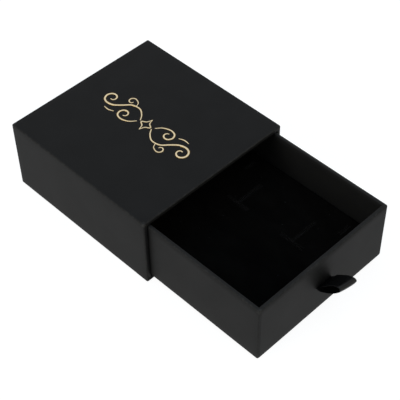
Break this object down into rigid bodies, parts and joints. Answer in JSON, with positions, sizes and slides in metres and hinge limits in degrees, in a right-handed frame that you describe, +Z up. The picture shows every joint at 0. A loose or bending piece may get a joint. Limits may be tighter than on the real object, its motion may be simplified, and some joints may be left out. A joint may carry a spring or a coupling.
{
  "type": "sliding drawer gift box",
  "caption": "Small rigid gift box: a paper-wrapped board sleeve with a sliding drawer, a satin ribbon loop as its pull and a velvet-faced insert with cut slits for jewellery.",
  "frame": {"origin": "middle of the sleeve's underside, on the surface that the box stands on", "axes": "+X across the box to the right seen from the front, -Y the way the drawer is pulled out of the sleeve's mouth, +Z up"},
  "size_m": [0.0904, 0.1766, 0.0404],
  "materials": {
    "wrap_paper": "matte",
    "lining_paper": "matte",
    "greyboard": "matte",
    "stay_tape": "matte",
    "foam": "matte",
    "velvet": "matte",
    "satin_ribbon": "satin"
  },
  "bodies": {
    "sleeve": {"sleeve_top_board": "greyboard", "sleeve_bottom_board": "greyboard", "sleeve_left_board": "greyboard", "sleeve_right_board": "greyboard", "sleeve_back_board": "greyboard", "sleeve_stay_top_left": "stay_tape", "sleeve_stay_top_right": "stay_tape", "sleeve_stay_bottom_left": "stay_tape", "sleeve_stay_bottom_right": "stay_tape", "sleeve_cover_paper": "wrap_paper", "sleeve_lining_paper": "lining_paper", "sleeve_back_paper": "wrap_paper", "sleeve_base_paper": "wrap_paper"},
    "drawer": {"drawer_base_board": "greyboard", "drawer_front_board": "greyboard", "drawer_back_board": "greyboard", "drawer_left_board": "greyboard", "drawer_right_board": "greyboard", "drawer_stay_front_left": "stay_tape", "drawer_stay_front_right": "stay_tape", "drawer_stay_back_left": "stay_tape", "drawer_stay_back_right": "stay_tape", "drawer_cover_paper": "wrap_paper", "drawer_floor_paper": "lining_paper", "insert_foam": "foam", "insert_velvet": "velvet", "ribbon_tails": "satin_ribbon"},
    "pull": {"ribbon_loop": "satin_ribbon"}
  },
  "joints": [
    {"name": "drawer_slide", "type": "slide", "parent": "sleeve", "child": "drawer", "axis": [0, -1, 0], "range_m": [-0.068, 0.035]},
    {"name": "pull_flex", "type": "hinge", "parent": "drawer", "child": "pull", "pos_m": [0, -0.115, 0.01955], "axis": [1, 0, 0], "range_deg": [-30, 60], "stiffness_Nm_per_rad": 0.0001}
  ]
}
